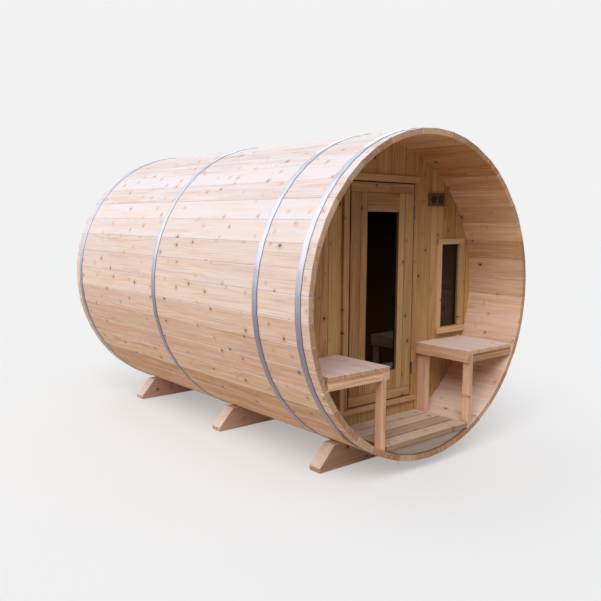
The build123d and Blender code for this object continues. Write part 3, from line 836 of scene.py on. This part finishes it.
def pierced(left, right, centre):
    """Half of the plate round one hole: at each angle the section runs from the hole's circle out to the
    plate's rectangle on the face and back again behind. The side at the plate's middle stays square."""
    reach_left, reach_right = centre - left, right - centre
    half_height = (vent_high.z - vent_low.z) / 2
    corners = [(x, z) for x in (reach_right, -reach_left) for z in (half_height, -half_height)]
    edges = [np.arctan2(z, x) % (2 * np.pi) for x, z in corners]
    angles = np.unique(np.concatenate([np.linspace(0, 2 * np.pi, vent_points, endpoint=False), edges]))
    out = np.stack([np.cos(angles), np.sin(angles)], axis=-1)

    def rectangle(inset):
        """The plate's outline at each angle, drawn in by inset except at the plate's middle."""
        ease_left = inset if left == vent_low.x else 0
        ease_right = inset if right == vent_high.x else 0
        side = np.where(out[:, 0] > 0, reach_right - ease_right, reach_left - ease_left)
        aside = np.maximum(np.abs(out), 1e-9)
        scale = np.minimum(side / aside[:, 0], (half_height - inset) / aside[:, 1])
        return out * scale[:, None]

    hole = out * vent_hole_radius
    lip = out * (vent_hole_radius + vent_ease)
    front, back = vent_low.y, vent_high.y
    outline = [
        (hole, back),
        (hole, front + vent_ease),
        (lip, front),
        (rectangle(vent_ease), front),
        (rectangle(0), front + vent_ease),
        (rectangle(0), back),
    ]
    loops = np.stack([loop for loop, _ in outline], axis=1)
    depths = np.array([depth for _, depth in outline])
    places = (centre + loops[..., 0], depths, vent_middle.z + loops[..., 1])
    spots = np.stack(np.broadcast_arrays(*places), axis=-1)
    place, shade = vent_log
    grain = spots[..., [0, 2, 1]] + place
    return {"rings": spots, "grain": grain, "shade": shade, "closed": True, **no_wear}


vent_log = new_log()
slant_cos, slant_sin = np.cos(louvre_slant), np.sin(louvre_slant)
louvre_facing = np.array([[1, 0, 0], [0, slant_cos, slant_sin], [0, -slant_sin, slant_cos]])
louvre_levels = (np.arange(louvre_count) - (louvre_count - 1) / 2) * 2 * vent_hole_radius / louvre_count
deep, thick = louvre_depth / 2, louvre_thickness / 2
parts = []
for hand, left, right in ((-1, vent_low.x, vent_middle.x), (1, vent_middle.x, vent_high.x)):
    centre = vent_middle.x + hand * vent_hole_spacing / 2
    parts.append(pierced(left, right, centre))
    for level in louvre_levels:
        half = np.sqrt(vent_hole_radius**2 - level**2)
        rings = slab([-half, half], -deep, deep, -thick, thick, louvre_ease)
        origin = (centre, (vent_low.y + vent_high.y) / 2, vent_middle.z + level)
        parts.append(board(rings, louvre_facing, 0, vent_log, origin))
assemble("vent_plate_wood", parts, vent_wood, "sauna", "vent_timber", "vent_plate")

# Porch benches
# A seat of four boards on each side, a tongued board as its front apron, a plain side apron, and legs cut
# to the staves. The timber is planed and slightly greyed by the weather.
bench_board_count = 4
bench_board_gap = 0.003
bench_ease = 0.0025
apron_thickness = 0.025
leg_thickness = 0.028
front_leg_depth = 0.055
rear_leg_depth = 0.080
apron_tongue_height = 0.016
apron_tongue_thickness = 0.009
apron_tongue_setback = 0.007
apron_tongue_ease = 0.001
apron_tongue_edge = 0.0005
leg_points = 9
bench_softwood = softwood(
    "weathered_bench_boards", "EAC2A4", "B88462", "42240F", "F2E8E0", "E4DADA",
    bleaching=0.8, contrast=2.0, branch_radius=0.008,
)
# The right seat's boards are picked pale, partly as a painted pool of sunlight on that seat.
for hand, side, seat_depth, leg_depth in (("left", -1, 0.5, 0.45), ("right", 1, 0.1, 0.3)):
    node = hand + "_bench_seat"
    low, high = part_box(node)
    edges = np.linspace(low.x, high.x + bench_board_gap, bench_board_count + 1)
    boards = []
    for start, stop in zip(edges, edges[1:] - bench_board_gap):
        rings = slab([start, stop], low.y, high.y, low.z, high.z, bench_ease)
        # joined=0.3 darkens the gaps between seat boards: dirt in the joints and painted shade.
        boards.append(board(rings, facing_up, 1, new_log(seat_depth), sky=(0, 0, 1), joined=0.3))
    assemble(node + "_boards", boards, bench_softwood, "sauna", "bench_timber", node)

    node = hand + "_bench_aprons"
    low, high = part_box(node)
    inner = low.x if side > 0 else high.x
    leg_inner = inner + side * apron_thickness
    leg_outer = leg_inner + side * leg_thickness
    outer = high.x if side > 0 else low.x
    span = sorted((leg_outer, outer))
    shoulder = high.z - apron_tongue_height
    face = slab(span, low.z, shoulder, -low.y - apron_thickness, -low.y, bench_ease)
    tongue_face = -low.y - apron_tongue_setback
    tongue_back = tongue_face - apron_tongue_thickness
    tongue_eases = 4 * (apron_tongue_ease,)
    tongue = slab(span, shoulder, high.z, tongue_back, tongue_face, apron_tongue_edge, tongue_eases)
    log = new_log()
    boards = [board(rings, facing_front, 0, log) for rings in (face, tongue)]
    rings = slab([low.y, high.y], low.z, high.z, *sorted((inner, leg_inner)), bench_ease)
    boards.append(board(rings, facing_side, 0, new_log()))
    assemble(node + "_boards", boards, bench_softwood, "sauna", "bench_timber", node)

    node = hand + "_bench_legs"
    low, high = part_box(node)
    places = np.linspace(low.x, high.x, leg_points)
    foot = flats_below(places, inner_flat - fascia_clearance)
    boards = []
    for near, depth in ((low.y, front_leg_depth), (high.y - rear_leg_depth, rear_leg_depth)):
        rings = slab(places, foot, high.z, -near - depth, -near, bench_ease)
        boards.append(board(rings, facing_front, 1, new_log(leg_depth)))
    assemble(node + "_boards", boards, bench_softwood, "sauna", "bench_timber", node)

# Studio
# A plain pale floor and background of one grey, a soft sky of light, a broad soft lamp at the left
# front, a weak one behind, and low ones at the left and the right rear. The panes show a glowing card
# of warm and dark tones that is seen only in reflections: a painted reflection.
pale_grey = "F2F2F2"
sky_strength = 0.68
sky_low, sky_high = -0.1, 0.9
floor_reach = 40.0
floor_evenness = 0.4
scene = bpy.context.scene
scene.view_settings.view_transform = "Standard"


def seen_directly(tree):
    """One for rays from the camera and for those mirrored or let through on their way, else nothing."""
    path = add(tree, "LightPath")
    rays = {0: path["Is Camera Ray"], 1: path["Is Glossy Ray"]}
    mirrored = add(tree, "Math", rays, operation="MAXIMUM")[0]
    return add(tree, "Math", {0: mirrored, 1: path["Is Transmission Ray"]}, operation="MAXIMUM")[0]


world = bpy.data.worlds.new("soft_sky")
world.use_nodes = True
scene.world = world
tree = world.node_tree
tree.nodes.clear()
height = add(tree, "SeparateXYZ", {0: add(tree, "TexCoord")["Generated"]})["Z"]
lift = add(tree, "MapRange", {"Value": height, "From Min": sky_low, "From Max": sky_high})[0]
sky_tones = {0: lift, 6: colour("5C554E"), 7: colour("F6F6F6")}
sky_tone = add(tree, "Mix", sky_tones, data_type="RGBA")[2]
sky_light = add(tree, "Background", {"Color": sky_tone, "Strength": sky_strength})[0]
backdrop = add(tree, "Background", {"Color": colour(pale_grey), "Strength": 1.0})[0]
both = add(tree, "MixShader", {0: seen_directly(tree), 1: sky_light, 2: backdrop})[0]
add(tree, "OutputWorld", {"Surface": both})

for name, energy, tint, spread, tilt, turn in (
    ("broad_lamp", 1.78, "FFFFFF", 40, 45, -52),
    ("back_lamp", 0.30, "FFFFFF", 60, 53, -140),
    ("side_fill", 0.92, "FFFAF4", 40, 95, -88),
    ("rear_fill", 0.80, "FFFFFF", 50, 84, 130),
):
    lamp = bpy.data.lights.new(name, "SUN")
    lamp.energy = energy
    lamp.color = colour(tint)[:3]
    lamp.angle = np.radians(spread)
    lamp_object = bpy.data.objects.new(name, lamp)
    lamp_object.rotation_euler = np.radians((tilt, 0, turn))
    scene.collection.objects.link(lamp_object)

floor_mesh = bpy.data.meshes.new("studio_floor")
corners = [(floor_reach * x, floor_reach * y, 0.0) for x, y in ((-1, -1), (1, -1), (1, 1), (-1, 1))]
floor_mesh.from_pydata(corners, [], [(0, 1, 2, 3)])
floor_finish, tree = new_finish("pale_floor")
lit = add(tree, "BsdfDiffuse", {"Color": colour("F1F2F3")})[0]
even = add(tree, "Emission", {"Color": colour(pale_grey)})[0]
shown = add(tree, "MixShader", {0: floor_evenness, 1: lit, 2: even})[0]
bounce = add(tree, "BsdfDiffuse", {"Color": colour("A69C92")})[0]
both = add(tree, "MixShader", {0: seen_directly(tree), 1: bounce, 2: shown})[0]
add(tree, "OutputMaterial", {"Surface": both})
floor_mesh.materials.append(floor_finish)
floor = bpy.data.objects.new("studio_floor", floor_mesh)
floor.visible_shadow = False
scene.collection.objects.link(floor)

# A card that glows with its own tones, warm below and dark above, hidden from the camera and from diffuse
# light so that the panes mirror it: a painted reflection.
flag_sides = (0.28, 0.66)
flag_levels = (0.40, 1.66)
flag_tones = (0.6, 1.4)
flag_gap = 0.05
flag_place = front_end - flag_gap
flag_mesh = bpy.data.meshes.new("painted_reflection_card")
corners = [(flag_sides[k], flag_place, flag_levels[m]) for k, m in ((0, 0), (1, 0), (1, 1), (0, 1))]
flag_mesh.from_pydata(corners, [], [(0, 1, 2, 3)])
flag_finish, tree = new_finish("painted_reflection_tones")
height = add(tree, "SeparateXYZ", {0: add(tree, "TexCoord")["Object"]})["Z"]
lift_span = {"Value": height, "From Min": flag_tones[0], "From Max": flag_tones[1]}
lift = add(tree, "MapRange", lift_span)[0]
card_tones = {0: lift, 6: colour("6A4630"), 7: colour("241C12")}
card_tone = add(tree, "Mix", card_tones, data_type="RGBA")[2]
even = add(tree, "Emission", {"Color": card_tone})[0]
add(tree, "OutputMaterial", {"Surface": even})
flag_mesh.materials.append(flag_finish)
flag = bpy.data.objects.new("painted_reflection_card", flag_mesh)
flag.visible_camera = False
flag.visible_diffuse = False
flag.visible_shadow = False
scene.collection.objects.link(flag)

# Camera
# It stands in front of the porch's left corner, where the photograph was taken from. Its place, its
# turns and its lens are fitted to the barrel's outline.
camera = bpy.data.cameras.new("camera")
camera.sensor_width = 36.0
camera.lens = 41.78
camera_place = (-3.0914, -3.8606, 1.4176)
camera_turn, camera_tilt, camera_roll = np.radians((-40.281, 83.399, 0.401))
camera_object = bpy.data.objects.new("camera", camera)
aim = Matrix.Rotation(camera_turn, 4, "Z") @ Matrix.Rotation(camera_tilt, 4, "X")
camera_object.matrix_world = Matrix.Translation(camera_place) @ aim @ Matrix.Rotation(camera_roll, 4, "Z")
scene.collection.objects.link(camera_object)
scene.camera = camera_object
